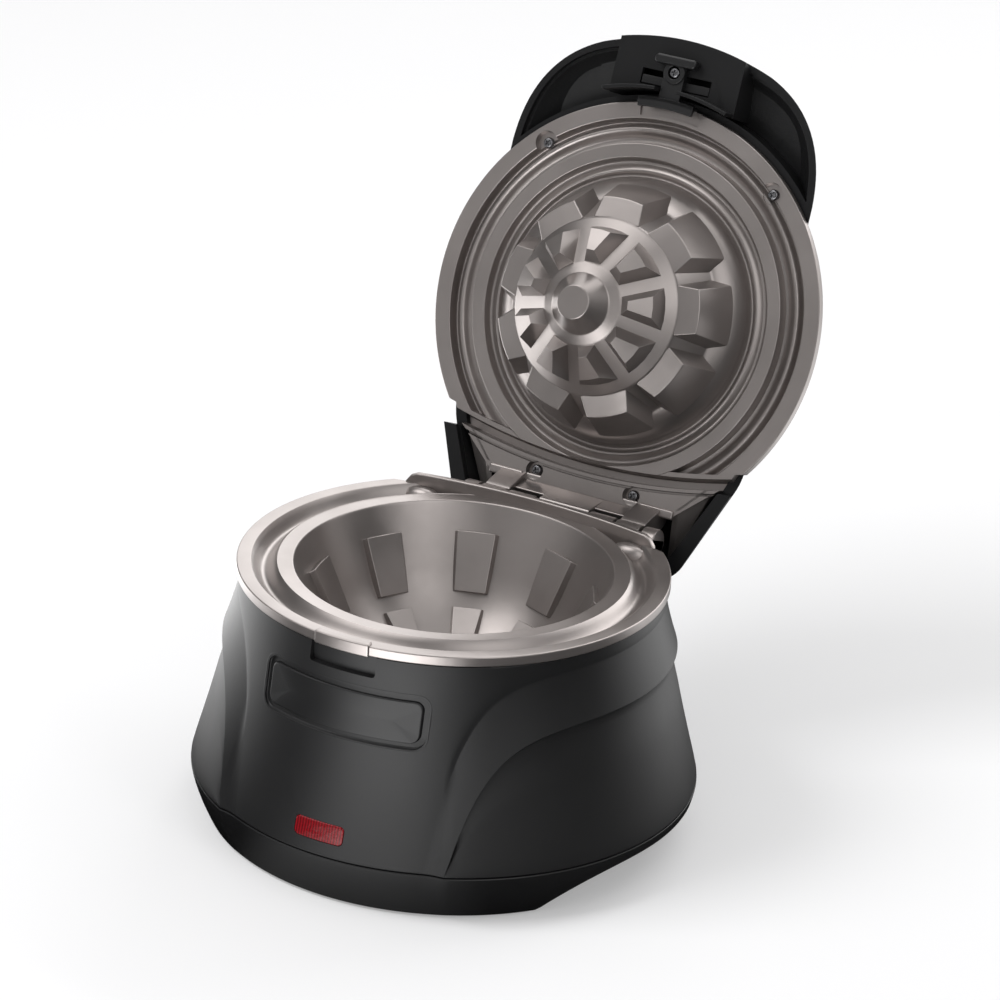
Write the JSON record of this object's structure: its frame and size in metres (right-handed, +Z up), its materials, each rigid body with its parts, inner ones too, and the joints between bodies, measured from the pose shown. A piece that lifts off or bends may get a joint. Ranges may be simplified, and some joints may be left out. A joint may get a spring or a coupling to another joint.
{
  "type": "waffle bowl maker",
  "caption": "Round countertop waffle cooker with a bowl-shaped lower plate, a domed upper plate, a hinged lid with a brim handle and a sprung latch.",
  "frame": {"origin": "on the table, under the middle of the whole object's plan box with the lid open", "axes": "+Z up, -Y to the front where the latch tab is, +Y to the rear where the hinge is, +X to the right of someone facing +Y"},
  "size_m": [0.2048, 0.289, 0.2809],
  "materials": {
    "black_shell": "satin black moulded plastic",
    "black_trim": "fine-textured black plastic",
    "coated_casting": "cast plate with a warm grey non-stick coating",
    "red_lens": "clear dark red window",
    "lamp_glass": "clear lamp glass",
    "ring_steel": "dull steel",
    "shield_sheet": "bare sheet",
    "ceramic_body": "white ceramic",
    "brown_moulding": "brown moulded resin",
    "black_rubber": "matt black rubber",
    "screw_steel": "plated steel"
  },
  "bodies": {
    "base": {"base_housing": "black_shell", "bottom_cover": "black_shell", "lower_plate": "coated_casting", "name_plaque": "black_trim", "indicator_lens": "red_lens", "neon_lamp": "lamp_glass", "lamp_holder": "black_trim", "lower_heating_ring": "ring_steel", "lower_heat_shield": "shield_sheet", "thermostat": "ceramic_body", "thermal_fuse": "shield_sheet", "terminal_block": "brown_moulding", "cord_gland": "black_rubber", "foot_pad_1": "black_rubber", "foot_pad_2": "black_rubber", "foot_pad_3": "black_rubber", "foot_pad_4": "black_rubber", "cover_screw_1": "screw_steel", "cover_screw_2": "screw_steel", "cover_screw_3": "screw_steel", "cover_screw_4": "screw_steel", "plate_screw_1": "screw_steel", "plate_screw_2": "screw_steel", "plate_screw_3": "screw_steel", "plate_screw_4": "screw_steel", "hinge_pin_left": "screw_steel", "hinge_pin_right": "screw_steel"},
    "lid": {"lid_cover": "black_shell", "upper_plate": "coated_casting", "upper_heating_ring": "ring_steel", "upper_heat_shield": "shield_sheet", "lid_screw_1": "screw_steel", "lid_screw_2": "screw_steel", "lid_screw_3": "screw_steel", "lid_screw_4": "screw_steel", "latch_spring": "ring_steel"},
    "latch": {"latch_slide": "black_trim", "latch_carriage": "black_trim", "latch_screw": "screw_steel"}
  },
  "joints": [
    {"name": "lid_hinge", "type": "hinge", "parent": "base", "child": "lid", "pos_m": [0, 0.04501, 0.0953], "axis": [1, 0, 0], "range_deg": [0, 112]},
    {"name": "latch_release", "type": "slide", "parent": "lid", "child": "latch", "axis": [0, 0.3746, 0.9272], "range_m": [0, 0.0022], "stiffness_N_per_m": 300, "springref_m": -0.003, "deforming": ["latch_spring"]}
  ]
}
